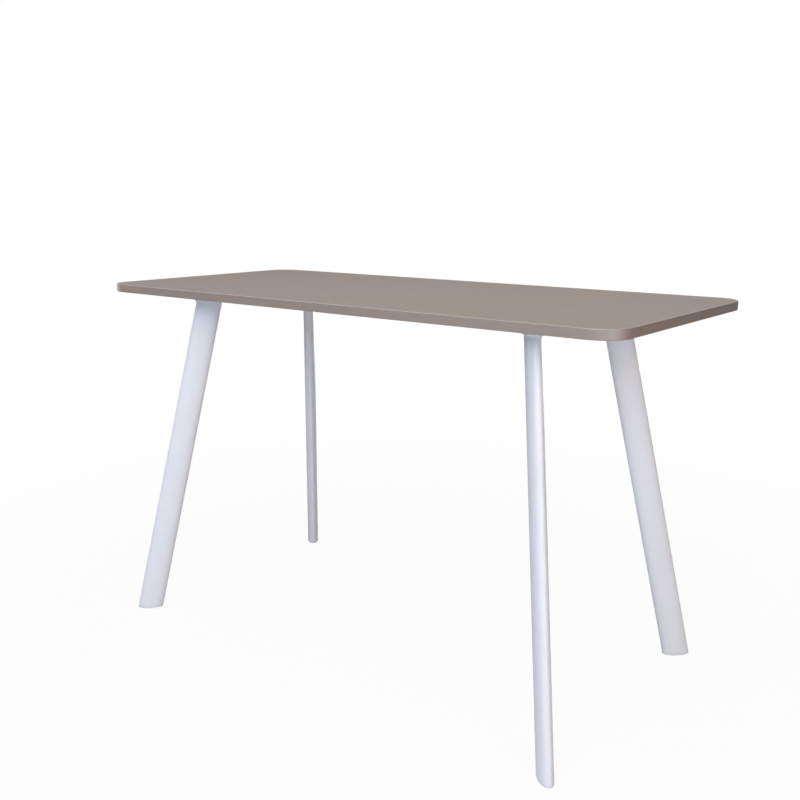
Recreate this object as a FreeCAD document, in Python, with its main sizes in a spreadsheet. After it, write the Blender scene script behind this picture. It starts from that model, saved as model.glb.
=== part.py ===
"""Standing-height meeting table with four splayed oval legs.

Millimetres, +Z up. The origin is on the floor under the middle of the top. X runs along the top
and the front is at -Y. Each leg set is drawn in a frame of its own: the origin is where the leg's
centre line meets the underside of its cast head, x points outward along the table's diagonal and
z points up. The four sets are the same parts, turned by 90 degrees.
"""
import FreeCAD
import Part
import Sketcher
import math
import os
import re

SIZES = {
    # the top: a chipboard core, laminate on both faces and a moulded band round the edge
    "top_length": 1800,
    "top_width": 800,
    "table_height": 1100,
    "top_corner_radius": 75,
    "core_thickness": 23.4,
    "laminate_thickness": 0.8,
    "backing_thickness": 0.8,
    "band_thickness": 2.2,
    "band_arris_radius": 1.8,
    # where each leg's centre line meets the underside of its head, in from the top's edges
    "leg_inset_x": 301,
    "leg_inset_y": 171,
    "leg_lean": 13.15,
    # the leg tube, an ellipse measured square to its length
    "leg_major": 80,
    "leg_minor": 40,
    "leg_wall": 2,
    # the steel rails under the top, and how far their centre lines lie inside the legs
    "rail_width": 50,
    "rail_height": 25,
    "rail_wall": 2,
    "rail_corner_radius": 3,
    "rail_inset": 49,
    "cap_thickness": 1.5,
    "cap_depth": 12,
    "cap_wall": 2.5,
    # the cast head between a leg and the rails, with a boss that stands outward of the leg
    "head_plate": 5,
    "head_lip": 0.4,
    "head_boss_offset": 12.6,
    "head_boss_length": 65,
    "head_boss_width": 57,
    "head_neck_width": 30,
    "head_arm_width": 44,
    "head_fillet": 16,
    "head_boss_fillet": 8,
    "head_edge_radius": 1.2,
    "head_notch_gap": 0.3,
    "head_core_wall": 6,
    "head_core_depth": 20,
    "head_rib": 4,
    "spigot_length": 60,
    "spigot_wall": 4,
    "spigot_gap": 0.1,
    # bolts from the head up into weld nuts in the rails, counted from the rails' corner
    "bolt_near": 56,
    "bolt_far": 108,
    "bolt_shank": 8,
    "bolt_hole": 8.6,
    "bolt_grip": 16,
    "bolt_head_width": 14,
    "bolt_head_height": 4.4,
    "bolt_socket": 5,
    "nut_width": 13,
    "nut_height": 6.5,
    "thread_gap": 0.05,
    # the shape of a button head, as shares of its width and height
    "button_crown": 0.6,
    "button_rim": 0.45,
    "button_socket_depth": 0.6,
    # screws through the rails into threaded inserts in the core, the end ones from the rails' corner
    "screw_inset": 190,
    "screw_shank": 6,
    "screw_hole": 6.6,
    "screw_grip": 36,
    "screw_head_width": 11,
    "screw_head_height": 3.3,
    "screw_socket": 4,
    "insert_width": 10,
    "insert_length": 13,
    # the plug in the foot of each leg, moulded hollow with ribs above the glide's nut
    "plug_height": 44,
    "plug_gap": 0.1,
    "plug_chamfer": 1,
    "plug_wall": 3,
    "plug_floor": 8,
    "plug_boss": 15,
    "plug_rib": 2.4,
    "stem_hole": 8.6,
    "recess_gap": 0.5,
    # the levelling glide, and how much of its disc shows when it is screwed right in
    "glide_show": 2,
    "disc_width": 30,
    "disc_height": 6,
    "disc_chamfer": 1,
    "disc_socket_depth": 4,
    "stem_width": 8,
    "stem_length": 36,
    "stem_chamfer": 0.8,
}

# levels and places that several pieces share
BOARD = "(core_thickness + laminate_thickness + backing_thickness)"
UNDERSIDE = f"(table_height - {BOARD})"
CORE_LEVEL = f"({UNDERSIDE} + backing_thickness)"
RAIL_LEVEL = f"({UNDERSIDE} - rail_height)"
HEAD_LEVEL = f"({RAIL_LEVEL} - head_plate)"
LEG_DROP = f"({HEAD_LEVEL} - glide_show)"
FOOT_REACH = f"({LEG_DROP} * tan(leg_lean))"
LEG_PLACE_X = "(top_length / 2 - leg_inset_x)"
LEG_PLACE_Y = "(top_width / 2 - leg_inset_y)"
RAIL_PLACE_X = f"({LEG_PLACE_X} - rail_inset)"
RAIL_PLACE_Y = f"({LEG_PLACE_Y} - rail_inset)"
HEAD_HEIGHT = "(head_plate + rail_height)"
RECESS_DEPTH = "(disc_height - glide_show)"

# the leg tube's outside and bore, where a level plane cuts them
TUBE_MAJOR = "(leg_major / 2 / cos(leg_lean))"
TUBE_MINOR = "(leg_minor / 2)"
BORE_MAJOR = "((leg_major / 2 - leg_wall) / cos(leg_lean))"
BORE_MINOR = "(leg_minor / 2 - leg_wall)"

# two places nearer than this count as one
TOUCH = 1e-3

CORNERS = {
    "front_left": (-1, -1),
    "front_right": (1, -1),
    "rear_right": (1, 1),
    "rear_left": (-1, 1),
}

doc = FreeCAD.newDocument("standing_table")
nodes = []


# ---- the sheet and its formulas ----

def make_sheet():
    sheet = doc.addObject("Spreadsheet::Sheet", "Sizes")
    for row, (name, size) in enumerate(SIZES.items(), start=1):
        sheet.set(f"A{row}", name)
        sheet.set(f"B{row}", str(size))
        sheet.setAlias(f"B{row}", name)
    doc.recompute()
    return sheet


sheet = make_sheet()


def cells(formula):
    """The formula with each size's name turned into a reference to its cell."""
    return re.sub(r"[a-z_]+", lambda m: "Sizes." + m[0] if m[0] in SIZES else m[0], str(formula))


def value(formula):
    return float(sheet.evalExpression(cells(formula)))


def bind(thing, **formulas):
    """Ties each property to a formula. Two underscores stand for a dot."""
    for name, formula in formulas.items():
        thing.setExpression(name.replace("__", "."), cells(formula))


def place(thing, x=0, y=0, z=0, turn=0):
    """Places a sub-part by formulas, turned about Z by a number of degrees."""
    upright = FreeCAD.Vector(0, 0, 1)
    thing.Placement = FreeCAD.Placement(FreeCAD.Vector(), FreeCAD.Rotation(upright, turn))
    bind(thing, Placement__Base__x=x, Placement__Base__y=y, Placement__Base__z=z)


def keep(thing, label):
    """Marks a finished sub-part as a node."""
    thing.Label = label
    nodes.append(thing)
    return thing


# ---- sketches ----

def body_named(label):
    return doc.addObject("PartDesign::Body", label)


def sketch_on(body, plane="XY_Plane", x=0, y=0, z=0):
    """A sketch on one of the body's own planes, moved by formulas within that plane's frame."""
    sketch = body.newObject("Sketcher::SketchObject", body.Name + "_sketch")
    support = next(f for f in body.Origin.OriginFeatures if f.Role == plane)
    sketch.AttachmentSupport = [(support, "")]
    sketch.MapMode = "FlatFace"
    bind(sketch, AttachmentOffset__Base__x=x, AttachmentOffset__Base__y=y, AttachmentOffset__Base__z=z)
    return sketch


def constrain(sketch, formula, *kind):
    """Adds one dimension, which starts at the formula's value and stays tied to it."""
    index = sketch.addConstraint(Sketcher.Constraint(*kind, value(formula)))
    sketch.setExpression(f"Constraints[{index}]", cells(formula))


def pin(sketch, geometry, point, x, y):
    """Holds one point of the sketch at two formulas from its origin."""
    constrain(sketch, x, "DistanceX", -1, 1, geometry, point)
    constrain(sketch, y, "DistanceY", -1, 1, geometry, point)


def circle(sketch, diameter, x=0, y=0):
    centre = FreeCAD.Vector(value(x), value(y), 0)
    index = sketch.addGeometry(Part.Circle(centre, FreeCAD.Vector(0, 0, 1), value(diameter) / 2))
    pin(sketch, index, 3, x, y)
    constrain(sketch, diameter, "Diameter", index)


def ellipse(sketch, major, minor, x=0):
    """An ellipse by its half axes, with the long one along x and its centre on the x axis."""
    centre = FreeCAD.Vector(value(x), 0, 0)
    index = sketch.addGeometry(Part.Ellipse(centre, value(major), value(minor)))
    sketch.exposeInternalGeometry(index)
    long_axis = index + 1
    short_axis = index + 2
    pin(sketch, index, 3, x, 0)
    sketch.addConstraint(Sketcher.Constraint("Horizontal", long_axis))
    constrain(sketch, f"2 * {major}", "Distance", long_axis)
    constrain(sketch, f"2 * {minor}", "Distance", short_axis)


def polygon(sketch, points):
    """A closed outline of straight lines through points given as pairs of formulas."""
    spots = [FreeCAD.Vector(value(x), value(y), 0) for x, y in points]
    first = sketch.GeometryCount
    for start, end in zip(spots, spots[1:] + spots[:1]):
        sketch.addGeometry(Part.LineSegment(start, end))
    count = len(points)
    for number, (x, y) in enumerate(points):
        before = first + (number - 1) % count
        sketch.addConstraint(Sketcher.Constraint("Coincident", before, 2, first + number, 1))
        pin(sketch, first + number, 1, x, y)


def rectangle(sketch, length, width):
    """A square-cornered rectangle about the sketch's origin."""
    east = f"{length} / 2"
    west = f"0 - {length} / 2"
    north = f"{width} / 2"
    south = f"0 - {width} / 2"
    polygon(sketch, [(west, south), (east, south), (east, north), (west, north)])


def hexagon(sketch, width, x=0, y=0):
    """A hexagon by its width across flats."""
    corner = f"{width} / sqrt(3)"
    points = [
        (f"{x} + {corner} * cos({60 * step})", f"{y} + {corner} * sin({60 * step})") for step in range(6)
    ]
    polygon(sketch, points)


def rounded_rectangle(sketch, length, width, radius, middle="0"):
    """A rectangle with round corners, its middle at a formula up the y axis."""
    half_x = value(length) / 2
    half_y = value(width) / 2
    round_by = value(radius)
    rise = value(middle)
    upright = FreeCAD.Vector(0, 0, 1)
    quarter = math.pi / 2
    arcs = []
    for step, (side_x, side_y) in enumerate([(1, 1), (-1, 1), (-1, -1), (1, -1)]):
        centre = FreeCAD.Vector(side_x * (half_x - round_by), rise + side_y * (half_y - round_by), 0)
        ring = Part.Circle(centre, upright, round_by)
        arcs.append(sketch.addGeometry(Part.ArcOfCircle(ring, step * quarter, (step + 1) * quarter)))
    sides = []
    for arc, after in zip(arcs, arcs[1:] + arcs[:1]):
        side = sketch.addGeometry(Part.LineSegment(sketch.getPoint(arc, 2), sketch.getPoint(after, 1)))
        sketch.addConstraint(Sketcher.Constraint("Tangent", arc, 2, side, 1))
        sketch.addConstraint(Sketcher.Constraint("Tangent", side, 2, after, 1))
        sides.append(side)
    for arc in arcs[1:]:
        sketch.addConstraint(Sketcher.Constraint("Equal", arcs[0], arc))
    constrain(sketch, radius, "Radius", arcs[0])
    top, left, bottom, right = sides
    sketch.addConstraint(Sketcher.Constraint("Horizontal", top))
    sketch.addConstraint(Sketcher.Constraint("Vertical", left))
    constrain(sketch, f"{length} / 2", "DistanceX", -1, 1, right, 1)
    constrain(sketch, f"0 - {length} / 2", "DistanceX", -1, 1, left, 1)
    constrain(sketch, f"{middle} + {width} / 2", "DistanceY", -1, 1, top, 1)
    constrain(sketch, f"{middle} - {width} / 2", "DistanceY", -1, 1, bottom, 1)


def slot(sketch, width, start, end):
    """A slot with round ends between two centres, each a pair of formulas."""
    radius = value(width) / 2
    a = FreeCAD.Vector(value(start[0]), value(start[1]), 0)
    b = FreeCAD.Vector(value(end[0]), value(end[1]), 0)
    heading = math.atan2(b.y - a.y, b.x - a.x)
    quarter = math.pi / 2
    upright = FreeCAD.Vector(0, 0, 1)
    first = sketch.GeometryCount
    far = Part.Circle(b, upright, radius)
    near = Part.Circle(a, upright, radius)
    sketch.addGeometry(Part.ArcOfCircle(far, heading - quarter, heading + quarter))
    sketch.addGeometry(Part.ArcOfCircle(near, heading + quarter, heading + 3 * quarter))
    for arc, other in ((first, first + 1), (first + 1, first)):
        side = sketch.addGeometry(Part.LineSegment(sketch.getPoint(arc, 2), sketch.getPoint(other, 1)))
        sketch.addConstraint(Sketcher.Constraint("Tangent", arc, 2, side, 1))
        sketch.addConstraint(Sketcher.Constraint("Tangent", side, 2, other, 1))
    pin(sketch, first, 3, *end)
    pin(sketch, first + 1, 3, *start)
    constrain(sketch, f"{width} / 2", "Radius", first)


# ---- features ----

def slant(feature, along):
    """Turns a pad or pocket to a direction in the XZ plane, with its length measured upright."""
    feature.UseCustomVector = True
    feature.AlongSketchNormal = True
    bind(feature, Direction__x=along[0], Direction__z=along[1])
    feature.Direction = FreeCAD.Vector(value(along[0]), 0, value(along[1]))


def pad(body, sketch, length, both_ways=False, along=None):
    """Pads a sketch by a formula, or along a slanted direction whose length is measured upright."""
    feature = body.newObject("PartDesign::Pad", body.Name + "_pad")
    feature.Profile = sketch
    bind(feature, Length=length)
    if both_ways:
        feature.SideType = "Symmetric"
    if along:
        slant(feature, along)
    doc.recompute()
    return feature


def pocket(body, sketch, depth=None, upward=True, along=None):
    """Cuts a sketch into the body by a formula, or right through when no depth is given.

    The cut goes up or down, or along a slanted direction whose length is measured upright.
    """
    before = body.Shape.Volume
    feature = body.newObject("PartDesign::Pocket", body.Name + "_pocket")
    feature.Profile = sketch
    if along:
        slant(feature, along)
    else:
        feature.Reversed = upward
    if depth is None:
        feature.Type = "ThroughAll"
    else:
        bind(feature, Length=depth)
    doc.recompute()
    if body.Shape.Volume >= before:
        raise RuntimeError(f"{feature.Name} cuts nothing")
    return feature


def revolve(body, points):
    """Turns an outline drawn in the XZ plane about the Z axis."""
    sketch = sketch_on(body, "XZ_Plane")
    polygon(sketch, points)
    feature = body.newObject("PartDesign::Revolution", body.Name + "_turned")
    feature.Profile = sketch
    feature.ReferenceAxis = (sketch, ["V_Axis"])
    feature.Angle = 360
    doc.recompute()
    return feature


def edge_names(shape, wanted):
    return [f"Edge{number}" for number, edge in enumerate(shape.Edges, start=1) if wanted(edge)]


def fillet(body, radius, wanted):
    """Rounds the edges of the body's last feature that a test picks out."""
    base = body.Tip
    feature = body.newObject("PartDesign::Fillet", body.Name + "_fillet")
    feature.Base = (base, edge_names(base.Shape, wanted))
    bind(feature, Radius=radius)
    doc.recompute()
    return feature


def chamfer(body, size, wanted):
    """Bevels the edges of the body's last feature that a test picks out."""
    base = body.Tip
    feature = body.newObject("PartDesign::Chamfer", body.Name + "_chamfer")
    feature.Base = (base, edge_names(base.Shape, wanted))
    bind(feature, Size=size)
    doc.recompute()
    return feature


def is_level(edge, height):
    box = edge.BoundBox
    return abs(box.ZMin - height) < TOUCH and abs(box.ZMax - height) < TOUCH


def cross_ribs(body, length, width, thickness, height, x, z, along=None):
    """Pads two ribs that cross at right angles inside a hollow, each let into its walls."""
    for size in ((length, thickness), (thickness, width)):
        rib = sketch_on(body, x=x, z=z)
        rectangle(rib, *size)
        pad(body, rib, height, along=along)


def cylinder(name, diameter, height):
    solid = doc.addObject("Part::Cylinder", name)
    bind(solid, Radius=f"{diameter} / 2", Height=height)
    return solid


def repeat(pattern, label, spots):
    """One node that holds a copy of the pattern at each spot, given as x, y and a turn."""
    copies = []
    for x, y, z, turn in spots:
        copy = doc.addObject("App::Link", label + "_copy")
        copy.LinkedObject = pattern
        copy.LinkTransform = True
        place(copy, x, y, z, turn)
        copies.append(copy)
    group = doc.addObject("Part::Compound", label)
    group.Links = copies
    return keep(group, label)


# ---- the top ----

BAND_INSIDE = (
    "(top_length - 2 * band_thickness)",
    "(top_width - 2 * band_thickness)",
    "(top_corner_radius - band_thickness)",
)


def both(formulas):
    """Each formula, and its mirror on the other side of the middle."""
    return [sign + formula for formula in formulas for sign in ("0 - ", "")]


def screw_steps():
    """Four even steps along a long rail, the end ones set in from the rails' corners."""
    outer = f"({RAIL_PLACE_X} - screw_inset)"
    return both([outer, f"({outer} / 3)"])


def screw_places():
    """Where the rails are screwed to the core: along both long rails and amid the cross rails."""
    sides = (f"0 - {RAIL_PLACE_Y}", RAIL_PLACE_Y)
    places = [(x, side) for side in sides for x in screw_steps()]
    return places + [(x, "0") for x in (f"0 - {RAIL_PLACE_X}", "0", RAIL_PLACE_X)]


def board_layer(label, level, thickness, hole_depth=None):
    """One layer of the board inside the edge band, with the inserts' holes in its underside."""
    body = body_named(label)
    outline = sketch_on(body)
    rounded_rectangle(outline, *BAND_INSIDE)
    pad(body, outline, thickness)
    if hole_depth:
        holes = sketch_on(body)
        for x, y in screw_places():
            circle(holes, "insert_width", x, y)
        pocket(body, holes, hole_depth)
    place(body, z=level)
    keep(body, label)


def edge_band():
    body = body_named("edge_band")
    outline = sketch_on(body)
    rounded_rectangle(outline, "top_length", "top_width", "top_corner_radius")
    rounded_rectangle(outline, *BAND_INSIDE)
    pad(body, outline, BOARD)
    thickness = value(BOARD)
    outside = value("top_length / 2")
    side = value("top_width / 2")

    def is_outer_arris(edge):
        if not (is_level(edge, 0) or is_level(edge, thickness)):
            return False
        middle = edge.valueAt((edge.FirstParameter + edge.LastParameter) / 2)
        inner_x = outside - value("band_thickness")
        inner_y = side - value("band_thickness")
        if abs(middle.x) > inner_x + TOUCH or abs(middle.y) > inner_y + TOUCH:
            return True
        corner = value("top_corner_radius")
        reach = math.hypot(abs(middle.x) - outside + corner, abs(middle.y) - side + corner)
        in_corner = abs(middle.x) > outside - corner and abs(middle.y) > side - corner
        return in_corner and reach > corner - TOUCH

    fillet(body, "band_arris_radius", is_outer_arris)
    place(body, z=UNDERSIDE)
    keep(body, "edge_band")


def frame_inserts():
    outside = cylinder("insert_outside", "insert_width", "insert_length")
    bore = cylinder("insert_bore", "(screw_shank + 2 * thread_gap)", "insert_length")
    insert = doc.addObject("Part::Cut", "threaded_insert")
    insert.Base = outside
    insert.Tool = bore
    repeat(insert, "frame_inserts", [(x, y, UNDERSIDE, 0) for x, y in screw_places()])


# ---- the rails ----

def rail(label, length, x, y, turn, screws, bolts):
    """A rectangular tube along its own x, with holes for screws through it and bolts below."""
    body = body_named(label)
    profile = sketch_on(body, "YZ_Plane")
    middle = "(rail_height / 2)"
    rounded_rectangle(profile, "rail_width", "rail_height", "rail_corner_radius", middle)
    inside = ("(rail_width - 2 * rail_wall)", "(rail_height - 2 * rail_wall)")
    rounded_rectangle(profile, *inside, "(rail_corner_radius - rail_wall)", middle)
    pad(body, profile, length, both_ways=True)
    screw_holes = sketch_on(body)
    for along in screws:
        circle(screw_holes, "screw_hole", along)
    pocket(body, screw_holes)
    if bolts:
        bolt_holes = sketch_on(body)
        for along in bolts:
            circle(bolt_holes, "bolt_hole", along)
        pocket(body, bolt_holes, "(rail_height / 2)")
    place(body, x, y, RAIL_LEVEL, turn)
    keep(body, label)


def rails():
    long_length = f"(2 * {RAIL_PLACE_X} + rail_width - 2 * cap_thickness)"
    short_length = f"(2 * {RAIL_PLACE_Y} - rail_width)"
    long_bolts = both([f"({RAIL_PLACE_X} - bolt_near)", f"({RAIL_PLACE_X} - bolt_far)"])
    short_bolts = both([f"({RAIL_PLACE_Y} - bolt_near)", f"({RAIL_PLACE_Y} - bolt_far)"])
    rail("long_rail_front", long_length, 0, f"0 - {RAIL_PLACE_Y}", 0, screw_steps(), long_bolts)
    rail("long_rail_rear", long_length, 0, RAIL_PLACE_Y, 0, screw_steps(), long_bolts)
    rail("end_rail_left", short_length, f"0 - {RAIL_PLACE_X}", 0, 90, ["0"], short_bolts)
    rail("end_rail_right", short_length, RAIL_PLACE_X, 0, 90, ["0"], short_bolts)
    rail("middle_rail", short_length, 0, 0, 90, ["0"], [])


def rail_end_caps():
    """Moulded caps in the open ends of the long rails, drawn with the rail on the -x side."""
    body = body_named("end_cap")
    plate = sketch_on(body, "YZ_Plane")
    middle = "(rail_height / 2)"
    rounded_rectangle(plate, "rail_width", "rail_height", "rail_corner_radius", middle)
    pad(body, plate, "cap_thickness")
    tongue = sketch_on(body, "YZ_Plane", z="0 - cap_depth")
    slack = "2 * (rail_wall + thread_gap)"
    bore = (f"(rail_width - {slack})", f"(rail_height - {slack})")
    rounded_rectangle(tongue, *bore, "(rail_corner_radius - rail_wall)", middle)
    hollow = (f"(rail_width - {slack} - 2 * cap_wall)", f"(rail_height - {slack} - 2 * cap_wall)")
    rounded_rectangle(tongue, *hollow, "(rail_corner_radius - rail_wall)", middle)
    pad(body, tongue, "cap_depth")
    reach = f"({RAIL_PLACE_X} + rail_width / 2 - cap_thickness)"
    spots = []
    for side in (f"0 - {RAIL_PLACE_Y}", RAIL_PLACE_Y):
        spots.append((f"0 - {reach}", side, RAIL_LEVEL, 180))
        spots.append((reach, side, RAIL_LEVEL, 0))
    repeat(body, "rail_end_caps", spots)


# ---- screws, bolts and nuts ----

def fastener(name, shank, grip, head_width, head_height, socket):
    """A button-headed screw with a hexagon socket, drawn head down with its seat at z = 0."""
    body = body_named(name)
    crown = f"(button_crown * {head_width} / 2)"
    revolve(body, [
        ("0", f"0 - {head_height}"),
        (crown, f"0 - {head_height}"),
        (f"{head_width} / 2", f"0 - button_rim * {head_height}"),
        (f"{head_width} / 2", "0"),
        (f"{shank} / 2", "0"),
        (f"{shank} / 2", grip),
        ("0", grip),
    ])
    key = sketch_on(body, z=f"0 - {head_height}")
    hexagon(key, socket)
    pocket(body, key, f"(button_socket_depth * {head_height})")
    return body


def hex_nut(name):
    body = body_named(name)
    outline = sketch_on(body)
    hexagon(outline, "nut_width")
    circle(outline, "(bolt_shank + 2 * thread_gap)")
    pad(body, outline, "nut_height")
    return body


def bolt_places():
    """The bolts of all four heads: two along each arm, counted from the rails' corner."""
    places = []
    for side_x, side_y in CORNERS.values():
        for step in ("bolt_near", "bolt_far"):
            along_x = f"{side_x} * ({RAIL_PLACE_X} - {step})"
            along_y = f"{side_y} * ({RAIL_PLACE_Y} - {step})"
            places.append((along_x, f"{side_y} * {RAIL_PLACE_Y}"))
            places.append((f"{side_x} * {RAIL_PLACE_X}", along_y))
    return places


def fasteners():
    screw_head = ("screw_head_width", "screw_head_height", "screw_socket")
    screw = fastener("frame_screw", "screw_shank", "screw_grip", *screw_head)
    repeat(screw, "frame_screws", [(x, y, RAIL_LEVEL, 0) for x, y in screw_places()])
    bolt_head = ("bolt_head_width", "bolt_head_height", "bolt_socket")
    bolt = fastener("leg_bolt", "bolt_shank", "bolt_grip", *bolt_head)
    repeat(bolt, "leg_bolts", [(x, y, HEAD_LEVEL, 0) for x, y in bolt_places()])
    nut = hex_nut("weld_nut")
    nut_level = f"({RAIL_LEVEL} + rail_wall)"
    repeat(nut, "rail_weld_nuts", [(x, y, nut_level, 0) for x, y in bolt_places()])


# ---- the leg sets ----

def on_leg(body, label, side_x, side_y):
    """Turns a leg set's own x outward along the diagonal and puts its origin on the leg."""
    turn = math.degrees(math.atan2(side_y, side_x))
    place(body, f"{side_x} * {LEG_PLACE_X}", f"{side_y} * {LEG_PLACE_Y}", HEAD_LEVEL, turn)
    keep(body, label)


def stands_at(edge, half_width, low, high):
    """Whether an upright edge between two levels lies at a distance to either side of the x axis."""
    box = edge.BoundBox
    upright = box.XLength < TOUCH and box.YLength < TOUCH
    right_height = abs(box.ZMin - low) < TOUCH and abs(box.ZMax - high) < TOUCH
    return upright and right_height and abs(abs(box.YMin) - half_width) < TOUCH


def head_arms(body, corner_x):
    """Two arms under the rails and a neck towards the leg, one plate thick with rounded corners."""
    diagonal = "(bolt_far / sqrt(2))"
    for side in ("", "0 - "):
        arm = sketch_on(body)
        slot(arm, "head_arm_width", (corner_x, "0"), (f"{corner_x} - {diagonal}", side + diagonal))
        pad(body, arm, "head_plate")
    neck = sketch_on(body, x=f"{corner_x} / 2")
    rectangle(neck, f"(0 - {corner_x})", "head_neck_width")
    pad(body, neck, "head_plate")
    half_neck = value("head_neck_width / 2")
    plate = value("head_plate")

    def is_inner_corner(edge):
        """The upright edges where the arms meet each other and the neck."""
        at_neck = stands_at(edge, half_neck, 0, plate) and edge.BoundBox.XMin < value(corner_x) / 2
        between_arms = stands_at(edge, 0, 0, plate) and edge.BoundBox.XMin < value(corner_x)
        return at_neck or between_arms

    fillet(body, "head_fillet", is_inner_corner)
    fillet(body, "head_edge_radius", lambda edge: is_level(edge, 0))


def head_boss(body, corner_x, halves, notch_tip):
    """The boss and neck up to the board, cut back from the rails' corner, and the flare below."""
    boss = sketch_on(body, x="head_boss_offset", z="head_plate")
    ellipse(boss, *halves)
    pad(body, boss, "rail_height")
    neck = sketch_on(body, x=f"{corner_x} / 2", z="head_plate")
    rectangle(neck, f"(0 - {corner_x})", "head_neck_width")
    pad(body, neck, "rail_height")
    notch = sketch_on(body, z=HEAD_HEIGHT)
    notch_end = f"({notch_tip} - rail_inset)"
    polygon(notch, [(notch_tip, "0"), (notch_end, "rail_inset"), (notch_end, "0 - rail_inset")])
    pocket(body, notch, "rail_height", upward=False)
    half_neck = value("head_neck_width / 2")
    levels = (value("head_plate"), value(HEAD_HEIGHT))
    beyond_notch = value(notch_tip) / 2
    fillet(
        body, "head_boss_fillet",
        lambda edge: stands_at(edge, half_neck, *levels) and edge.BoundBox.XMin > beyond_notch,
    )
    flare = body.newObject("PartDesign::AdditiveLoft", body.Name + "_flare")
    joint = sketch_on(body)
    ellipse(joint, f"({TUBE_MAJOR} + head_lip)", f"({TUBE_MINOR} + head_lip)")
    collar = sketch_on(body, x="head_boss_offset", z="head_plate")
    ellipse(collar, *halves)
    flare.Profile = joint
    flare.Sections = [collar]
    flare.Ruled = True
    body.Tip = flare
    doc.recompute()


def head_hollow(body, halves):
    """Cores the boss from above and leaves two crossed ribs in it."""
    offset = {"x": "head_boss_offset"}
    hollow = sketch_on(body, **offset, z=HEAD_HEIGHT)
    hollow_halves = [f"({half} - head_core_wall)" for half in halves]
    ellipse(hollow, *hollow_halves)
    pocket(body, hollow, "head_core_depth", upward=False)
    rib_sizes = [f"(2 * {half} + head_core_wall)" for half in hollow_halves]
    core_floor = f"({HEAD_HEIGHT} - head_core_depth)"
    cross_ribs(body, *rib_sizes, "head_rib", "head_core_depth", **offset, z=core_floor)


def leg_head(corner, side_x, side_y):
    """A casting: arms and a neck under the rails, a boss up to the board, a spigot in the leg."""
    label = "leg_head_" + corner
    body = body_named(label)
    corner_x = "(0 - rail_inset * sqrt(2))"
    notch_tip = "((head_notch_gap + rail_width / 2 - rail_inset) * sqrt(2))"
    halves = ("(head_boss_length / 2)", "(head_boss_width / 2)")
    head_arms(body, corner_x)
    head_boss(body, corner_x, halves, notch_tip)
    head_hollow(body, halves)
    holes = sketch_on(body)
    for step in ("bolt_near", "bolt_far"):
        for side in ("", "0 - "):
            circle(holes, "bolt_hole", f"{corner_x} - {step} / sqrt(2)", f"{side}{step} / sqrt(2)")
    pocket(body, holes, "head_plate")
    spigot = sketch_on(body)
    spigot_halves = (f"({BORE_MAJOR} - spigot_gap)", f"({BORE_MINOR} - spigot_gap)")
    ellipse(spigot, *spigot_halves)
    ellipse(spigot, *(f"({half} - spigot_wall)" for half in spigot_halves))
    pad(body, spigot, "spigot_length", along=("tan(leg_lean)", "-1"))
    on_leg(body, label, side_x, side_y)


def leg_tube(corner, side_x, side_y):
    """An elliptical steel tube, leaned outward and cut level at both ends."""
    label = "leg_tube_" + corner
    body = body_named(label)
    section = sketch_on(body)
    ellipse(section, TUBE_MAJOR, TUBE_MINOR)
    ellipse(section, BORE_MAJOR, BORE_MINOR)
    pad(body, section, LEG_DROP, along=("tan(leg_lean)", "-1"))
    on_leg(body, label, side_x, side_y)


def foot_plug(corner, side_x, side_y):
    """A moulded plug in the foot, with a ribbed hollow above and seats for the glide below.

    The seats are a recess for the glide's disc, a pocket for its nut and a bore for its stem.
    """
    label = "foot_plug_" + corner
    body = body_named(label)
    up_the_leg = ("0 - tan(leg_lean)", "1")
    sole = {"x": FOOT_REACH, "z": f"0 - {LEG_DROP}"}
    outline = sketch_on(body, **sole)
    half_length = f"({BORE_MAJOR} - plug_gap)"
    half_width = f"({BORE_MINOR} - plug_gap)"
    ellipse(outline, half_length, half_width)
    pad(body, outline, "plug_height", along=up_the_leg)
    top_level = value(f"plug_height - {LEG_DROP}")
    chamfer(body, "plug_chamfer", lambda edge: is_level(edge, top_level))
    web = f"({RECESS_DEPTH} + nut_height + plug_floor)"
    hollow_depth = f"(plug_height - {web})"
    above_web = {"x": f"({FOOT_REACH} - {web} * tan(leg_lean))", "z": f"({web} - {LEG_DROP})"}
    hollow = sketch_on(body, **above_web)
    ellipse(hollow, f"({half_length} - plug_wall)", f"({half_width} - plug_wall)")
    pocket(body, hollow, hollow_depth, along=up_the_leg)
    rib_length = f"(2 * {half_length} - plug_wall)"
    rib_width = f"(2 * {half_width} - plug_wall)"
    cross_ribs(body, rib_length, rib_width, "plug_rib", hollow_depth, **above_web, along=up_the_leg)
    boss = sketch_on(body, x=FOOT_REACH, z=above_web["z"])
    circle(boss, "plug_boss")
    pad(body, boss, hollow_depth)
    recess = sketch_on(body, **sole)
    circle(recess, "(disc_width + 2 * recess_gap)")
    pocket(body, recess, RECESS_DEPTH)
    nut_seat = sketch_on(body, **sole)
    hexagon(nut_seat, "(nut_width + 2 * thread_gap)")
    pocket(body, nut_seat, f"({RECESS_DEPTH} + nut_height)")
    bore = sketch_on(body, **sole)
    circle(bore, "stem_hole")
    pocket(body, bore)
    on_leg(body, label, side_x, side_y)


def glide_disc(corner, side_x, side_y):
    """The glide's nylon foot, which rests on the floor."""
    label = "glide_disc_" + corner
    body = body_named(label)
    stem_seat = "(stem_width / 2 + thread_gap)"
    revolve(body, [
        ("0", "0"),
        ("(disc_width / 2 - disc_chamfer)", "0"),
        ("disc_width / 2", "disc_chamfer"),
        ("disc_width / 2", "disc_height"),
        (stem_seat, "disc_height"),
        (stem_seat, "disc_height - disc_socket_depth"),
        ("0", "disc_height - disc_socket_depth"),
    ])
    stand_on_floor(body, label, side_x, side_y, 0)


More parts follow.
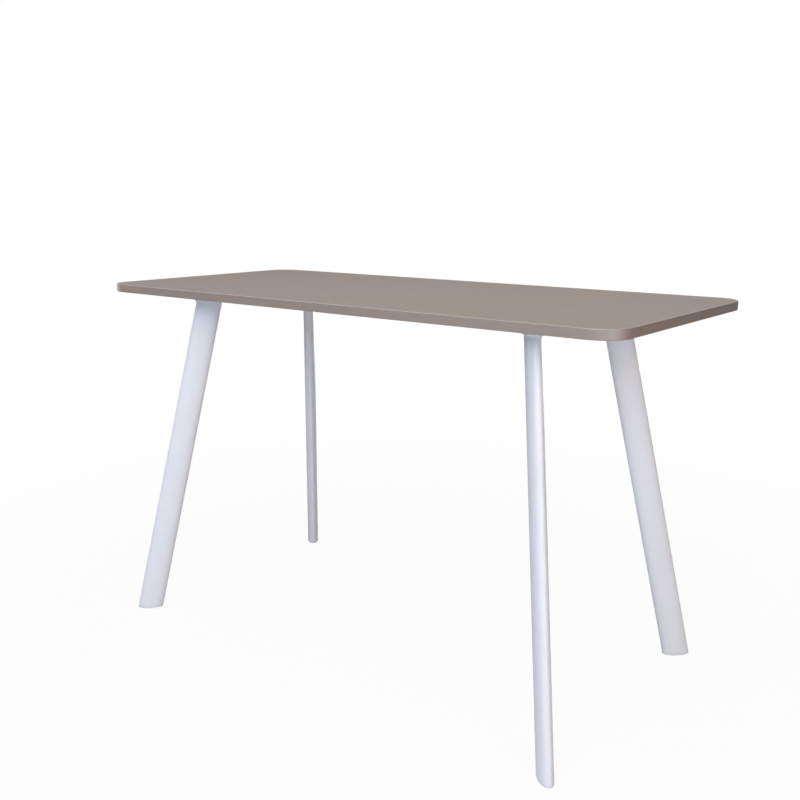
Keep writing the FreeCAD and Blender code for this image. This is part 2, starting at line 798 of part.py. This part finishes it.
def glide_stem(corner, side_x, side_y):
    """The glide's threaded stem, moulded into the disc and screwed up through the nut."""
    label = "glide_stem_" + corner
    body = body_named(label)
    revolve(body, [
        ("0", "0"),
        ("stem_width / 2", "0"),
        ("stem_width / 2", "stem_length - stem_chamfer"),
        ("stem_width / 2 - stem_chamfer", "stem_length"),
        ("0", "stem_length"),
    ])
    stand_on_floor(body, label, side_x, side_y, "disc_height - disc_socket_depth")


def foot_place(side_x, side_y):
    reach = f"{FOOT_REACH} / sqrt(2)"
    return f"{side_x} * ({LEG_PLACE_X} + {reach})", f"{side_y} * ({LEG_PLACE_Y} + {reach})"


def stand_on_floor(body, label, side_x, side_y, level):
    x, y = foot_place(side_x, side_y)
    place(body, x, y, level)
    keep(body, label)


def foot_nuts():
    nut = hex_nut("glide_nut")
    spots = []
    for side_x, side_y in CORNERS.values():
        x, y = foot_place(side_x, side_y)
        turn = math.degrees(math.atan2(side_y, side_x))
        spots.append((x, y, "disc_height", turn))
    repeat(nut, "foot_nuts", spots)


# ---- the whole table ----

def build():
    board_layer("backing_laminate", UNDERSIDE, "backing_thickness", "backing_thickness")
    board_layer("top_core", CORE_LEVEL, "core_thickness", "(insert_length - backing_thickness)")
    top_level = f"({CORE_LEVEL} + core_thickness)"
    board_layer("top_laminate", top_level, "laminate_thickness")
    edge_band()
    frame_inserts()
    rails()
    rail_end_caps()
    fasteners()
    for make in (leg_head, leg_tube, foot_plug, glide_disc, glide_stem):
        for corner, (side_x, side_y) in CORNERS.items():
            make(corner, side_x, side_y)
    foot_nuts()
    doc.recompute()


def check():
    """Stops the script if any object failed or any sub-part's shape is empty or broken."""
    for thing in doc.Objects:
        if "Invalid" in thing.State or "Error" in thing.State:
            raise RuntimeError(f"{thing.Label} failed: {thing.State}")
    for node in nodes:
        if node.Shape.isNull() or not node.Shape.isValid():
            raise RuntimeError(f"{node.Label} has no sound shape")


def export():
    os.makedirs("parts", exist_ok=True)
    for node in nodes:
        node.Shape.exportStep(f"parts/{node.Label}.step")


build()
check()
export()
print(len(nodes), "nodes")
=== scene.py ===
"""Finishes, floor, lamps and camera for the standing table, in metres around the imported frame.

The front of the table faces -Y, its length runs along X and the floor is at z = 0.
"""
import math

import bpy
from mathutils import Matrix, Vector


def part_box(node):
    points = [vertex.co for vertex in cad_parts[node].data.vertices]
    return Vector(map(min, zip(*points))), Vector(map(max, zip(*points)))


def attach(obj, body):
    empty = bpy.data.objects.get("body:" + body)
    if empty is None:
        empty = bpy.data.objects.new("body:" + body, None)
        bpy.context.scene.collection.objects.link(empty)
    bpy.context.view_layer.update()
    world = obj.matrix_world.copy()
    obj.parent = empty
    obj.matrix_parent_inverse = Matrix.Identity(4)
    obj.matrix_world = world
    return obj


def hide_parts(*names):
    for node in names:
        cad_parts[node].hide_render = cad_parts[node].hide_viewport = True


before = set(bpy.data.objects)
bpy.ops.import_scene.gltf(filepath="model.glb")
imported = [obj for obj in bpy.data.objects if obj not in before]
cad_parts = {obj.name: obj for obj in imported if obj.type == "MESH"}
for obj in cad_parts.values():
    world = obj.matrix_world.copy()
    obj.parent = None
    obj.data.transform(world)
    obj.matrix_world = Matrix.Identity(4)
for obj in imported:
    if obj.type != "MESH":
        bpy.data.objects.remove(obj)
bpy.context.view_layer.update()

MM = 0.001

# The top's corner radius and the band's section are the CAD model's.
TOP_CORNER_RADIUS = 75 * MM
BAND_THICKNESS = 2.2 * MM
BAND_ARRIS_RADIUS = 1.8 * MM
BAND_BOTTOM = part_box("edge_band")[0].z
BAND_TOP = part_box("edge_band")[1].z
FOOT_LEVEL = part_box("leg_tube_front_left")[0].z

# Steps round each corner of the top and each arris of the band.
CORNER_TURNS = 32
ARRIS_TURNS = 8
# A straight side has its end points this far from the corners, and the band's flat face has them
# this share of the arris radius from the arrises.
SIDE_HOLD = 1.5 * MM
FACE_HOLD_SHARE = 0.3

# How far the painted highlight and painted shade at the band's arrises, and the rub marks on the
# feet, reach.
PAINTED_ARRIS_REACH = 1.6 * MM
SCUFF_REACH = 14 * MM


# ---- node trees ----

def add(tree, kind, **settings):
    """A node of the given kind, with its properties set by name."""
    made = tree.nodes.new(kind)
    for name, setting in settings.items():
        setattr(made, name, setting)
    return made


def feed(tree, item, target):
    """Sets an input to a number, a colour or a direction, or links an output to it."""
    if isinstance(item, (int, float, tuple, Vector)):
        target.default_value = item
    else:
        tree.links.new(item, target)


def fill(tree, node, **items):
    """Feeds a node's inputs. Underscores in an input's name stand for spaces."""
    for name, item in items.items():
        feed(tree, item, node.inputs[name.replace("_", " ")])
    return node


def new_group(name, inputs, outputs):
    """A shader node group, what it is given, and the node that takes its results.

    Inputs are (name, socket kind, default) rows, and outputs are the names of numbers.
    """
    group = bpy.data.node_groups.new(name, "ShaderNodeTree")
    for label, kind, default in inputs:
        socket = group.interface.new_socket(label, in_out="INPUT", socket_type=kind)
        if default is not None:
            socket.default_value = default
    for label in outputs:
        group.interface.new_socket(label, in_out="OUTPUT", socket_type="NodeSocketFloat")
    return group, group.nodes.new("NodeGroupInput").outputs, group.nodes.new("NodeGroupOutput")


def noise(tree, vector, scale, detail, roughness):
    made = add(tree, "ShaderNodeTexNoise")
    fill(tree, made, Vector=vector, Scale=scale, Detail=detail, Roughness=roughness)
    return made.outputs["Fac"]


def math_node(tree, operation, *items):
    made = add(tree, "ShaderNodeMath", operation=operation)
    for item, target in zip(items, made.inputs):
        feed(tree, item, target)
    return made.outputs["Value"]


def eased(tree, value, start, end, low, high):
    """Low up to the start, high from the end onward, and a smooth change between them."""
    made = add(tree, "ShaderNodeMapRange", interpolation_type="SMOOTHSTEP")
    fill(tree, made, Value=value, From_Min=start, From_Max=end, To_Min=low, To_Max=high)
    return made.outputs["Result"]


def along(tree, vector, direction):
    """How far a vector goes in a direction."""
    made = add(tree, "ShaderNodeVectorMath", operation="DOT_PRODUCT")
    for item, target in zip((vector, direction), made.inputs):
        feed(tree, item, target)
    return made.outputs["Value"]


def mix_colours(tree, amount, first, second):
    """The colour sockets share their names with a mix node's others, so they go by number."""
    first_colour, second_colour, mixed_colour = 6, 7, 2
    made = add(tree, "ShaderNodeMix", data_type="RGBA")
    feed(tree, amount, made.inputs["Factor"])
    feed(tree, first, made.inputs[first_colour])
    feed(tree, second, made.inputs[second_colour])
    return made.outputs[mixed_colour]


def mix_shaders(tree, amount, first, second):
    made = add(tree, "ShaderNodeMixShader")
    for item, target in zip((amount, first, second), made.inputs):
        feed(tree, item, target)
    return made.outputs["Shader"]


def bump(tree, height, strength, depth):
    made = add(tree, "ShaderNodeBump")
    fill(tree, made, Strength=strength, Distance=depth, Height=height)
    return made.outputs["Normal"]


def speckle_group():
    """Fine speckle over slow clouding, for printed decor and moulded plastic.

    Gives a shade between about 0 and 1 that is 0.5 on average, and a height for bump.
    """
    group, given, result = new_group("speckle", [
        ("Vector", "NodeSocketVector", None),
        ("Speckle Scale", "NodeSocketFloat", 900.0),
        ("Cloud Scale", "NodeSocketFloat", 6.0),
        ("Cloud Share", "NodeSocketFloat", 0.4),
    ], ["Shade", "Height"])
    fine = noise(group, given["Vector"], given["Speckle Scale"], detail=4.0, roughness=0.65)
    cloud = noise(group, given["Vector"], given["Cloud Scale"], detail=5.0, roughness=0.55)
    cloud_part = math_node(group, "MULTIPLY", cloud, given["Cloud Share"])
    fine_share = math_node(group, "SUBTRACT", 1.0, given["Cloud Share"])
    fine_part = math_node(group, "MULTIPLY", fine, fine_share)
    fill(group, result, Shade=math_node(group, "ADD", cloud_part, fine_part), Height=fine)
    return group


def coat_ripple_group():
    """The gentle orange-peel ripple of a sprayed and baked powder coat."""
    group, given, result = new_group("coat_ripple", [
        ("Vector", "NodeSocketVector", None),
        ("Ripple Scale", "NodeSocketFloat", 420.0),
    ], ["Height", "Gloss Shade"])
    ripple = noise(group, given["Vector"], given["Ripple Scale"], detail=2.0, roughness=0.4)
    drift = noise(group, given["Vector"], scale=9.0, detail=2.0, roughness=0.5)
    fill(group, result, Height=ripple, Gloss_Shade=drift)
    return group


def spread_group():
    """Moves a noise's shade, most of it from 0.3 to 0.7, to lie between two values."""
    group, given, result = new_group("spread", [
        ("Shade", "NodeSocketFloat", 0.5),
        ("Low", "NodeSocketFloat", 0.3),
        ("High", "NodeSocketFloat", 0.5),
    ], ["Value"])
    made = add(group, "ShaderNodeMapRange")
    fill(group, made, Value=given["Shade"], From_Min=0.3, From_Max=0.7,
         To_Min=given["Low"], To_Max=given["High"])
    fill(group, result, Value=made.outputs["Result"])
    return group


def level_line_group():
    """A soft line round a piece at one height: 1 on the level, and 0 from a reach off it."""
    group, given, result = new_group("level_line", [
        ("Vector", "NodeSocketVector", None),
        ("Level", "NodeSocketFloat", 0.0),
        ("Reach", "NodeSocketFloat", 0.001),
    ], ["Mask"])
    parts = fill(group, add(group, "ShaderNodeSeparateXYZ"), Vector=given["Vector"])
    off = math_node(group, "SUBTRACT", parts.outputs["Z"], given["Level"])
    away = math_node(group, "ABSOLUTE", off)
    mask = eased(group, away, start=0.0, end=given["Reach"], low=1.0, high=0.0)
    fill(group, result, Mask=mask)
    return group


SPECKLE = speckle_group()
COAT_RIPPLE = coat_ripple_group()
SPREAD = spread_group()
LEVEL_LINE = level_line_group()


def use(tree, group, **items):
    """Places a group in a material and gives its outputs."""
    return fill(tree, add(tree, "ShaderNodeGroup", node_tree=group), **items).outputs


def spread(tree, shade, low, high):
    return use(tree, SPREAD, Shade=shade, Low=low, High=high)["Value"]


def level_line(tree, where, level, reach):
    return use(tree, LEVEL_LINE, Vector=where, Level=level, Reach=reach)["Mask"]


# ---- materials ----

def srgb(red, green, blue):
    """A colour given by its 0 to 255 screen values, as linear light."""
    def linear(level):
        level = level / 255
        return level / 12.92 if level <= 0.04045 else ((level + 0.055) / 1.055) ** 2.4
    return (linear(red), linear(green), linear(blue), 1.0)


def new_material(name):
    """A material with its tree, its shader and the object's own coordinates."""
    material = bpy.data.materials.new(name)
    material.use_nodes = True
    tree = material.node_tree
    shader = tree.nodes["Principled BSDF"]
    where = add(tree, "ShaderNodeTexCoord").outputs["Object"]
    return material, tree, shader, where


def speckled(name, dark, light, low_gloss, high_gloss, grain_strength, grain_depth, **pattern):
    """A material speckled in two close shades, with its gloss and its grain from the speckle.

    Comes with its tree, its shader, its coordinates and its colour, for a finish to add to.
    """
    material, tree, shader, where = new_material(name)
    speckle = use(tree, SPECKLE, Vector=where, **pattern)
    colour = mix_colours(tree, spread(tree, speckle["Shade"], low=0.0, high=1.0), dark, light)
    gloss = spread(tree, speckle["Height"], low_gloss, high_gloss)
    grain = bump(tree, speckle["Height"], grain_strength, grain_depth)
    fill(tree, shader, Base_Color=colour, Roughness=gloss, Normal=grain)
    return material, tree, shader, where, colour


def decor_laminate(name, dark, light, low_gloss, high_gloss):
    """Matt printed laminate: fine speckle in two close shades and a micro texture."""
    material, tree, shader, _, _ = speckled(
        name, dark, light, low_gloss, high_gloss, grain_strength=0.12, grain_depth=0.08 * MM,
        Speckle_Scale=1100.0, Cloud_Scale=24.0, Cloud_Share=0.55,
    )
    fill(tree, shader, Specular_IOR_Level=0.3)
    return material


def edge_banding(name, dark, light, top_arris_highlight, bottom_arris_shade):
    """Satin plastic edging in the colour of the laminate.

    Its top arris is painted paler as a painted highlight, and its bottom arris is painted darker
    as a painted shade.
    """
    material, tree, shader, where, face = speckled(
        name, dark, light, low_gloss=0.36, high_gloss=0.42,
        grain_strength=0.15, grain_depth=0.12 * MM,
        Speckle_Scale=700.0, Cloud_Scale=9.0, Cloud_Share=0.5,
    )
    # A paler painted highlight along the top arris and a darker painted shade along the bottom
    # arris.
    for level, shade in ((BAND_TOP, top_arris_highlight), (BAND_BOTTOM, bottom_arris_shade)):
        face = mix_colours(tree, level_line(tree, where, level, PAINTED_ARRIS_REACH), face, shade)
    fill(tree, shader, Base_Color=face, Specular_IOR_Level=1.0, Coat_Weight=0.8,
         Coat_Roughness=0.36)
    return material


def chipboard(name):
    """Pressed wood chips of several shades, rough where they are cut."""
    material, tree, shader, where = new_material(name)
    chips = fill(tree, add(tree, "ShaderNodeTexVoronoi"), Vector=where, Scale=320.0).outputs
    parts = fill(tree, add(tree, "ShaderNodeSeparateColor"), Color=chips["Color"]).outputs
    chip_colour = mix_colours(tree, parts["Red"], srgb(176, 142, 98), srgb(214, 186, 142))
    dust = noise(tree, where, scale=1500.0, detail=4.0, roughness=0.6)
    dusty = spread(tree, dust, low=0.0, high=0.35)
    fill(
        tree, shader,
        Base_Color=mix_colours(tree, dusty, chip_colour, srgb(228, 208, 172)),
        Roughness=spread(tree, dust, low=0.75, high=0.9),
        Normal=bump(tree, chips["Distance"], strength=0.4, depth=0.4 * MM),
    )
    return material


def powder_coat(name, light, dark, ripple_scale, ripple_depth, scuffed=False):
    """Powder coat on metal: even colour, semi-gloss, with a slight ripple.

    A scuffed one has faint grey rub marks round the bottom edge, where floor cleaners touch it.
    """
    material, tree, shader, where = new_material(name)
    ripple = use(tree, COAT_RIPPLE, Vector=where, Ripple_Scale=ripple_scale)
    coat = mix_colours(tree, spread(tree, ripple["Gloss Shade"], low=0.0, high=1.0), dark, light)
    if scuffed:
        marks = noise(tree, where, scale=160.0, detail=5.0, roughness=0.7)
        rim = level_line(tree, where, FOOT_LEVEL, SCUFF_REACH)
        amount = math_node(tree, "MULTIPLY", rim, spread(tree, marks, low=0.0, high=0.5))
        coat = mix_colours(tree, amount, coat, srgb(176, 176, 180))
    fill(
        tree, shader,
        Base_Color=coat,
        Roughness=spread(tree, ripple["Gloss Shade"], low=0.3, high=0.36),
        Normal=bump(tree, ripple["Height"], strength=0.15, depth=ripple_depth),
    )
    return material


def metal(name, colour, tint, low_gloss, high_gloss, grain_scale):
    """Bare or plated metal whose colour and gloss drift from place to place."""
    material, tree, shader, _, _ = speckled(
        name, colour, tint, low_gloss, high_gloss, grain_strength=0.2, grain_depth=0.06 * MM,
        Speckle_Scale=grain_scale, Cloud_Scale=130.0, Cloud_Share=0.7,
    )
    fill(tree, shader, Metallic=1.0)
    return material


def moulded_plastic(name, dark, light):
    """Matt injection moulding with a fine spark-eroded texture."""
    return speckled(
        name, dark, light, low_gloss=0.45, high_gloss=0.58,
        grain_strength=0.3, grain_depth=0.08 * MM,
        Speckle_Scale=1600.0, Cloud_Scale=40.0, Cloud_Share=0.5,
    )[0]


top_finish = decor_laminate(
    "taupe_laminate", srgb(146, 133, 123), srgb(152, 139, 128), low_gloss=0.46, high_gloss=0.54,
)
band_finish = edge_banding(
    "taupe_edge_band", srgb(137, 119, 109), srgb(143, 125, 115),
    # The top arris colour is a painted highlight and the bottom arris colour is a painted shade.
    top_arris_highlight=srgb(164, 153, 145), bottom_arris_shade=srgb(120, 110, 105),
)
backing_finish = decor_laminate(
    "pale_backing_laminate", srgb(200, 199, 196), srgb(208, 207, 204),
    low_gloss=0.5, high_gloss=0.6,
)
core_finish = chipboard("raw_chipboard")
leg_finish = powder_coat(
    "white_leg_coat", srgb(240, 239, 246), srgb(238, 237, 245),
    ripple_scale=420.0, ripple_depth=0.2 * MM, scuffed=True,
)
head_finish = powder_coat(
    "white_cast_head_coat", srgb(239, 240, 246), srgb(235, 236, 242),
    ripple_scale=260.0, ripple_depth=0.5 * MM,
)
rail_finish = powder_coat(
    "white_rail_coat", srgb(237, 238, 243), srgb(233, 234, 240),
    ripple_scale=420.0, ripple_depth=0.25 * MM,
)
zinc_finish = metal(
    "bright_zinc", srgb(205, 208, 214), srgb(214, 209, 192),
    low_gloss=0.26, high_gloss=0.38, grain_scale=900.0,
)
insert_finish = metal(
    "die_cast_alloy", srgb(204, 196, 172), srgb(190, 180, 152),
    low_gloss=0.4, high_gloss=0.52, grain_scale=500.0,
)
cap_finish = moulded_plastic("grey_cap_plastic", srgb(196, 197, 200), srgb(203, 204, 207))
plug_finish = moulded_plastic("grey_plug_nylon", srgb(190, 191, 195), srgb(198, 199, 203))
glide_finish = moulded_plastic("grey_glide_nylon", srgb(182, 183, 187), srgb(191, 192, 196))

# Each finish goes on every node whose name starts with the words beside it.
FINISHES = {
    "top_laminate": top_finish,
    "edge_band": band_finish,
    "backing_laminate": backing_finish,
    "top_core": core_finish,
    "leg_tube": leg_finish,
    "leg_head": head_finish,
    "long_rail": rail_finish,
    "end_rail": rail_finish,
    "middle_rail": rail_finish,
    "rail_weld_nuts": zinc_finish,
    "frame_screws": zinc_finish,
    "leg_bolts": zinc_finish,
    "foot_nuts": zinc_finish,
    "glide_stem": zinc_finish,
    "frame_inserts": insert_finish,
    "rail_end_caps": cap_finish,
    "foot_plug": plug_finish,
    "glide_disc": glide_finish,
}


def dress(thing, material):
    """Puts one material in every slot of a piece."""
    if not thing.material_slots:
        thing.data.materials.append(material)
    for place in thing.material_slots:
        place.material = material


# ---- finer pieces for the top ----

def sweep(first, last, turns):
    """The angles of even steps from one angle to another, with both ends."""
    return [first + (last - first) * turn / turns for turn in range(turns + 1)]


def outward(angle):
    """The level direction at an angle from +X, anticlockwise from above."""
    return Vector((math.cos(angle), math.sin(angle), 0.0))


def onward(angle):
    """The level direction a quarter turn on from the outward one."""
    return Vector((-math.sin(angle), math.cos(angle), 0.0))


def rounded_outline(half_length, half_width, radius):
    """Points and outward directions round a board with round corners, anticlockwise from above.

    A point stands a little way along each straight side from its ends, to keep the flat flat.
    """
    stations = []
    for side_x, side_y, start in ((1, -1, -90), (1, 1, 0), (-1, 1, 90), (-1, -1, 180)):
        centre = Vector((side_x * (half_length - radius), side_y * (half_width - radius), 0.0))
        angles = sweep(math.radians(start), math.radians(start + 90), CORNER_TURNS)
        first, last = angles[0], angles[-1]
        arc = [(centre + radius * outward(angle), outward(angle)) for angle in angles]
        stations.append((arc[0][0] - SIDE_HOLD * onward(first), outward(first)))
        stations += arc
        stations.append((arc[-1][0] + SIDE_HOLD * onward(last), outward(last)))
    return stations


def arris_arc(centre_level, first, last):
    """The (inset, level) points round one arris of the band."""
    return [
        (BAND_ARRIS_RADIUS * (1 - math.cos(angle)),
         centre_level + BAND_ARRIS_RADIUS * math.sin(angle))
        for angle in sweep(first, last, ARRIS_TURNS)
    ]


def band_section(low, high):
    """The band's cross-section as (inset, level) points: round outer arrises, flat inside."""
    upper_centre = high - BAND_ARRIS_RADIUS
    lower_centre = low + BAND_ARRIS_RADIUS
    hold = FACE_HOLD_SHARE * BAND_ARRIS_RADIUS
    return [
        (BAND_THICKNESS, high),
        *arris_arc(upper_centre, math.pi / 2, 0.0),
        (0.0, upper_centre - hold),
        (0.0, lower_centre + hold),
        *arris_arc(lower_centre, 0.0, -math.pi / 2),
        (BAND_THICKNESS, low),
    ]


def finished_piece(name, mesh, material, node_name):
    """A piece on the table's body that stands for one CAD node."""
    piece = bpy.data.objects.new(name, mesh)
    bpy.context.collection.objects.link(piece)
    dress(piece, material)
    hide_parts(node_name)
    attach(piece, "table")


def edge_moulding():
    """The band as one smooth ring, with finely turned corners and arrises."""
    low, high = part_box("edge_band")
    stations = rounded_outline(high.x, high.y, TOP_CORNER_RADIUS)
    section = band_section(low.z, high.z)
    points = [
        place - inset * facing + Vector((0.0, 0.0, level))
        for place, facing in stations for inset, level in section
    ]
    rows = len(stations)
    width = len(section)
    faces = []
    for row in range(rows):
        here = row * width
        ahead = (row + 1) % rows * width
        for step in range(width):
            beside = (step + 1) % width
            faces.append((here + step, here + beside, ahead + beside, ahead + step))
    mesh = bpy.data.meshes.new("edge_moulding")
    mesh.from_pydata(points, [], faces)
    mesh.shade_smooth()
    # The section's two ends lie against the board, where the edges are sharp.
    against_board = {0, width - 1}
    for edge in mesh.edges:
        first, second = (vertex % width for vertex in edge.vertices)
        if first == second and first in against_board:
            edge.use_edge_sharp = True
    finished_piece("edge_moulding", mesh, band_finish, "edge_band")


def laminate_face():
    """The working surface, cut to the inside of the moulding."""
    low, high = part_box("top_laminate")
    outline = rounded_outline(high.x, high.y, TOP_CORNER_RADIUS - BAND_THICKNESS)
    count = len(outline)
    points = [
        place + Vector((0.0, 0.0, level)) for level in (low.z, high.z) for place, _ in outline
    ]
    sides = [(i, (i + 1) % count, count + (i + 1) % count, count + i) for i in range(count)]
    top = tuple(range(count, 2 * count))
    underside = tuple(reversed(range(count)))
    mesh = bpy.data.meshes.new("laminate_face")
    mesh.from_pydata(points, [], sides + [top, underside])
    finished_piece("laminate_face", mesh, top_finish, "top_laminate")


for node_name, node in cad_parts.items():
    words = next(start for start in FINISHES if node_name.startswith(start))
    dress(node, FINISHES[words])

edge_moulding()
laminate_face()


# ---- floor and surround ----

WHITE = (1.0, 1.0, 1.0)
OPAQUE_WHITE = (*WHITE, 1.0)
FLOOR_GREY = (0.68, 0.68, 0.68, 1.0)
FLOOR_REACH = 30.0
# The way in which the floor is mirrored more and more brightly.
FRONT_RIGHT = (0.5, -0.85, 0.0)

SKYLIGHT = (0.7, 0.85, 1.0, 1.0)
SKYLIGHT_STRENGTH = 0.05
# The side of the surround that pieces mirror as white. The far side is mirrored as black.
BRIGHT_SIDE = Vector((-1.0, -0.1, 0.3)).normalized()


def mirrored_only(tree):
    """1 for rays that come from a reflection or through glass."""
    path = add(tree, "ShaderNodeLightPath").outputs
    return math_node(tree, "MAXIMUM", path["Is Glossy Ray"], path["Is Transmission Ray"])


def eye_only(tree):
    """1 for rays that come straight from the eye."""
    return add(tree, "ShaderNodeLightPath").outputs["Is Camera Ray"]


def pale_floor():
    """A wide pale floor that is white to the eye and keeps the table's shadow.

    It glows a little less near the table than further out, where it meets the surround. In
    reflections it glows only faintly, and more the further it lies to the front right.
    """
    mesh = bpy.data.meshes.new("floor")
    near, far = -FLOOR_REACH, FLOOR_REACH
    corners = [(near, near, 0.0), (far, near, 0.0), (far, far, 0.0), (near, far, 0.0)]
    mesh.from_pydata(corners, [], [(0, 1, 2, 3)])
    floor = bpy.data.objects.new("floor", mesh)
    bpy.context.collection.objects.link(floor)
    material, tree, shader, where = new_material("pale_floor")
    fill(tree, shader, Base_Color=FLOOR_GREY, Roughness=0.9, Specular_IOR_Level=0.0)
    glow = fill(tree, add(tree, "ShaderNodeEmission"), Color=OPAQUE_WHITE)
    distance = add(tree, "ShaderNodeVectorMath", operation="LENGTH")
    feed(tree, where, distance.inputs["Vector"])
    level = eased(tree, distance.outputs["Value"], start=0.8, end=3.5, low=0.96, high=1.0)
    forward = along(tree, where, FRONT_RIGHT)
    mirrored_share = eased(tree, forward, start=0.0, end=5.0, low=0.05, high=0.7)
    mirrored = math_node(tree, "MULTIPLY", mirrored_only(tree), mirrored_share)
    seen = math_node(tree, "MAXIMUM", eye_only(tree), mirrored)
    share = math_node(tree, "MULTIPLY", seen, level)
    surface = mix_shaders(tree, share, shader.outputs["BSDF"], glow.outputs["Emission"])
    fill(tree, tree.nodes["Material Output"], Surface=surface)
    mesh.materials.append(material)


def white_surround():
    """White to the eye, a weak even skylight, and mirrored more brightly on one side."""
    world = bpy.data.worlds.new("surround")
    bpy.context.scene.world = world
    world.use_nodes = True
    tree = world.node_tree
    direction = add(tree, "ShaderNodeTexCoord").outputs["Generated"]
    facing = along(tree, direction, BRIGHT_SIDE)
    strength = eased(tree, facing, start=-0.5, end=0.3, low=0.0, high=0.85)
    skylight = fill(tree, tree.nodes["Background"], Color=SKYLIGHT, Strength=SKYLIGHT_STRENGTH)
    mirrored = fill(
        tree, add(tree, "ShaderNodeBackground"), Color=OPAQUE_WHITE, Strength=strength,
    )
    seen = fill(tree, add(tree, "ShaderNodeBackground"), Color=OPAQUE_WHITE)
    unseen = mix_shaders(
        tree, mirrored_only(tree), skylight.outputs["Background"], mirrored.outputs["Background"],
    )
    surface = mix_shaders(tree, eye_only(tree), unseen, seen.outputs["Background"])
    fill(tree, tree.nodes["World Output"], Surface=surface)


# ---- lamps and camera ----

COOL = (0.82, 0.925, 1.0)
BLUE = (0.66, 0.86, 1.0)
DEEP_BLUE = (0.23, 0.6, 1.0)
SKY = (0.5, 0.78, 1.0)
WARM = (1.0, 0.9, 0.74)
AMBER = (1.0, 0.89, 0.73)
CREAM = (1.0, 0.91, 0.81)
PEARL = (0.92, 0.9, 0.9)
ROSE = (1.0, 0.83, 0.91)
LILAC = (0.84, 0.7, 0.86)

TABLE_MIDDLE = Vector((0.2, -0.2, 0.8))

# Name, degrees from the front towards the right, degrees of rise, distance, width, height, watts
# and colour.
LAMPS_ROUND_THE_TABLE = (
    ("front_softbox", 8, 24.5, 9.0, 4.0, 2.8, 322.0, COOL),
    ("high_softbox", 0, 48, 4.5, 2.4, 2.0, 26.0, WARM),
    ("right_softbox", 62, 22, 9.0, 4.0, 4.0, 208.0, AMBER),
    ("left_softbox", -65, 45, 8.0, 3.5, 3.5, 78.0, ROSE),
    ("side_softbox", 98, 12, 8.0, 3.0, 3.0, 46.0, LILAC),
    ("low_softbox", 50, -3, 4.4, 5.0, 0.9, 5.5, BLUE),
)

# Name, place, the point it looks at, width, height, watts and colour.
LAMPS_IN_PLACE = (
    ("front_fill", (-0.1, -2.3, 0.9), (-0.1, 0.0, 0.9), 2.4, 0.8, 2.8, DEEP_BLUE),
    ("right_fill", (2.4, -0.9, 2.2), (0.8, 0.0, 0.8), 1.2, 1.2, 3.2, CREAM),
    ("corner_fill", (2.5, -0.7, 1.0), (0.88, -0.38, 1.08), 1.3, 0.5, 2.9, PEARL),
    ("corner_sheen", (1.57, -1.07, 0.95), (0.87, -0.37, 1.07), 1.0, 0.25, 1.2, SKY),
    ("left_fill", (-2.8, -0.5, 0.5), (-0.8, 0.0, 0.4), 1.2, 1.0, 4.0, CREAM),
    ("rear_softbox", (-1.3, 4.2, 0.55), (0.0, 0.0, 0.55), 3.0, 0.9, 56.0, WHITE),
    ("top_softbox", (0.7, -0.4, 3.9), (0.6, -0.3, 1.1), 2.6, 2.2, 31.0, WHITE),
)

LENS_MM = 41.18
SENSOR_MM = 36.0
CAMERA_PLACE = (1.72015, -2.15637, 1.36693)
CAMERA_DIP = math.radians(12.353)
CAMERA_TURN = math.radians(38.506)


def softbox(name, place, aim, width, height, watts, colour):
    """A rectangular lamp that looks at a point and that the camera doesn't see."""
    lamp = bpy.data.lights.new(name, "AREA")
    lamp.shape = "RECTANGLE"
    lamp.size = width
    lamp.size_y = height
    lamp.energy = watts
    lamp.color = colour
    thing = bpy.data.objects.new(name, lamp)
    thing.location = place
    thing.rotation_euler = (Vector(aim) - Vector(place)).to_track_quat("-Z", "Y").to_euler()
    thing.visible_camera = False
    bpy.context.collection.objects.link(thing)


def round_the_table(turn, rise, distance):
    """A lamp's place, turned and raised round the table's middle by angles in degrees."""
    turn = math.radians(turn)
    rise = math.radians(rise)
    level = distance * math.cos(rise)
    return TABLE_MIDDLE + Vector((
        level * math.sin(turn), -level * math.cos(turn), distance * math.sin(rise),
    ))


def lamps():
    for name, turn, rise, distance, *rest in LAMPS_ROUND_THE_TABLE:
        softbox(name, round_the_table(turn, rise, distance), TABLE_MIDDLE, *rest)
    for row in LAMPS_IN_PLACE:
        softbox(*row)


def camera():
    """A 41 mm lens at standing eye level off the front right corner, looking slightly down."""
    lens = bpy.data.cameras.new("camera")
    lens.lens = LENS_MM
    lens.sensor_width = SENSOR_MM
    thing = bpy.data.objects.new("camera", lens)
    thing.location = CAMERA_PLACE
    thing.rotation_euler = (math.pi / 2 - CAMERA_DIP, 0.0, CAMERA_TURN)
    bpy.context.collection.objects.link(thing)
    bpy.context.scene.camera = thing


pale_floor()
white_surround()
lamps()
camera()
bpy.context.scene.view_settings.view_transform = "Standard"
